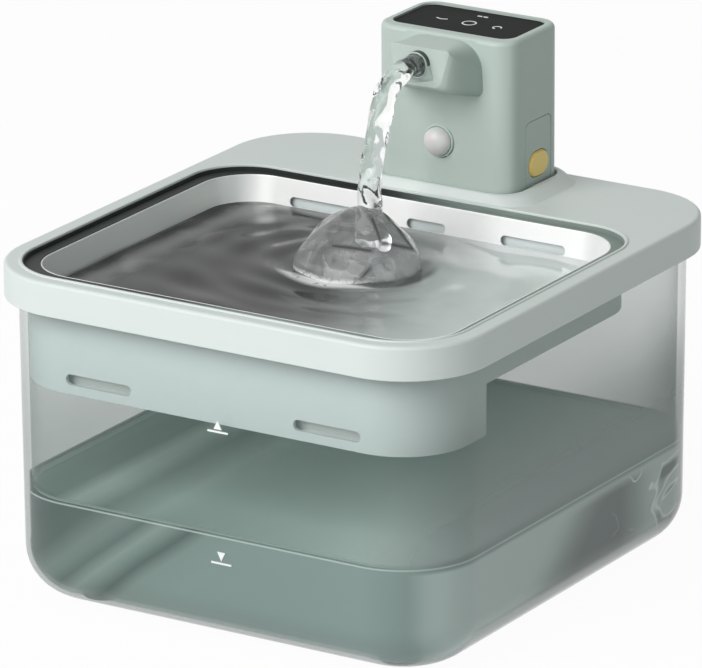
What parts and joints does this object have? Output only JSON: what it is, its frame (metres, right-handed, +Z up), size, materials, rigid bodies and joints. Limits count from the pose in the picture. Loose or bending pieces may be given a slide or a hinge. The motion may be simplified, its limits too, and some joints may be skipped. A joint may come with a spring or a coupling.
{
  "type": "pet water fountain",
  "caption": "Clear rounded tank with a lift-off lid, a steel drinking bowl, a filter tray with a pump below it, and a plug-in power unit whose spout pours into the bowl.",
  "frame": {"origin": "middle of the footprint, on the surface the fountain stands on", "axes": "+Z up; -Y is the front, towards the drinking animal; +X is to the right seen from the front, the side with the release button"},
  "size_m": [0.2, 0.2134, 0.1923],
  "materials": {
    "clear_tank": "clear moulded copolyester, slightly grey-green, smooth",
    "foot_rubber": "soft matt rubber",
    "white_print": "white screen print",
    "lid_plastic": "fine satin moulded plastic, pale grey-green white",
    "grey_silicone": "soft silicone",
    "tray_plastic": "fine satin moulded plastic, pale mint",
    "pump_plastic": "moulded plastic, light grey",
    "dark_foam": "open-cell filter foam",
    "copper_coil": "enamelled copper winding",
    "black_resin": "poured sealing resin",
    "shaft_ceramic": "polished ceramic",
    "impeller_plastic": "moulded plastic",
    "magnet": "coated ferrite magnet",
    "black_plastic": "moulded plastic, black",
    "gilt_contact": "gilt contact metal",
    "black_silicone": "smooth black silicone with a slight gloss",
    "bowl_steel": "satin stainless steel",
    "white_plastic": "moulded plastic, white",
    "cotton_felt": "needled cotton felt",
    "carbon_grains": "packed activated carbon grains",
    "unit_plastic": "fine satin moulded plastic, grey-green",
    "base_plastic": "moulded plastic, darker grey-green",
    "screw_steel": "zinc-plated steel",
    "panel_glass": "black tinted cover, glossy",
    "circuit_board": "lacquered circuit board",
    "light_lens": "small light-emitting part",
    "liner_plastic": "moulded plastic, shaded grey-green",
    "tube_silicone": "translucent silicone tube",
    "ring_plastic": "moulded plastic, pale grey-green",
    "lens_plastic": "milky moulded lens",
    "can_metal": "nickel-plated sheet metal",
    "battery_sleeve": "shrink sleeve",
    "plug_silicone": "soft silicone, grey-green",
    "amber_plastic": "moulded plastic, amber",
    "spring_steel": "drawn spring steel"
  },
  "bodies": {
    "tank": {"tank_shell": "clear_tank", "tank_feet": "foot_rubber", "level_marks": "white_print"},
    "lid": {"lid_frame": "lid_plastic", "lid_seal": "grey_silicone", "filter_tray": "tray_plastic", "riser_tube": "pump_plastic", "cable_duct": "pump_plastic", "pump_housing": "pump_plastic", "pump_cover": "pump_plastic", "intake_foam": "dark_foam", "stator_coil": "copper_coil", "coil_cap": "black_resin", "impeller_shaft": "shaft_ceramic", "contact_block": "black_plastic", "contact_pads": "gilt_contact", "coupling_seal": "black_silicone"},
    "impeller": {"impeller": "impeller_plastic", "rotor_magnet": "magnet"},
    "bowl": {"steel_bowl": "bowl_steel", "bowl_gasket": "black_silicone"},
    "filter": {"filter_case": "white_plastic", "filter_cotton": "cotton_felt", "filter_carbon": "carbon_grains", "filter_grille": "white_plastic"},
    "power_unit": {"unit_shell": "unit_plastic", "unit_base": "base_plastic", "base_screws": "screw_steel", "touch_panel": "panel_glass", "panel_icons": "white_print", "main_board": "circuit_board", "indicator_lights": "light_lens", "outlet_liner": "liner_plastic", "spout_tube": "tube_silicone", "tube_connector": "pump_plastic", "sensor_ring": "ring_plastic", "sensor_lens": "lens_plastic", "sensor_element": "can_metal", "sensor_board": "circuit_board", "latch_panel": "unit_plastic", "battery_pack": "battery_sleeve", "battery_bracket": "white_plastic", "charge_board": "circuit_board", "charge_socket": "can_metal", "port_plug": "plug_silicone", "contact_pins": "gilt_contact", "button_spring": "spring_steel"},
    "button": {"release_button": "amber_plastic", "latch_slider": "white_plastic"}
  },
  "joints": [
    {"name": "lid_lift", "type": "slide", "parent": "tank", "child": "lid", "axis": [0, 0, 1], "range_m": [0, 0.12]},
    {"name": "bowl_lift", "type": "slide", "parent": "lid", "child": "bowl", "axis": [0, 0, 1], "range_m": [0, 0.042]},
    {"name": "filter_lift", "type": "slide", "parent": "lid", "child": "filter", "axis": [0, 0, 1], "range_m": [0, 0.021]},
    {"name": "unit_lift", "type": "slide", "parent": "lid", "child": "power_unit", "axis": [0, 0, 1], "range_m": [0, 0.02]},
    {"name": "button_press", "type": "slide", "parent": "power_unit", "child": "button", "axis": [-1, 0, 0], "range_m": [0, 0.0015], "stiffness_N_per_m": 600, "springref_m": -0.001, "deforming": ["button_spring"]},
    {"name": "impeller_spin", "type": "hinge", "parent": "lid", "child": "impeller", "pos_m": [-0.036, 0.074, 0.0317], "axis": [0, 0, 1], "continuous": true}
  ],
  "couplings": [
    {"joint": "filter_lift", "follows": "bowl_lift", "ratio": 0.5}
  ]
}
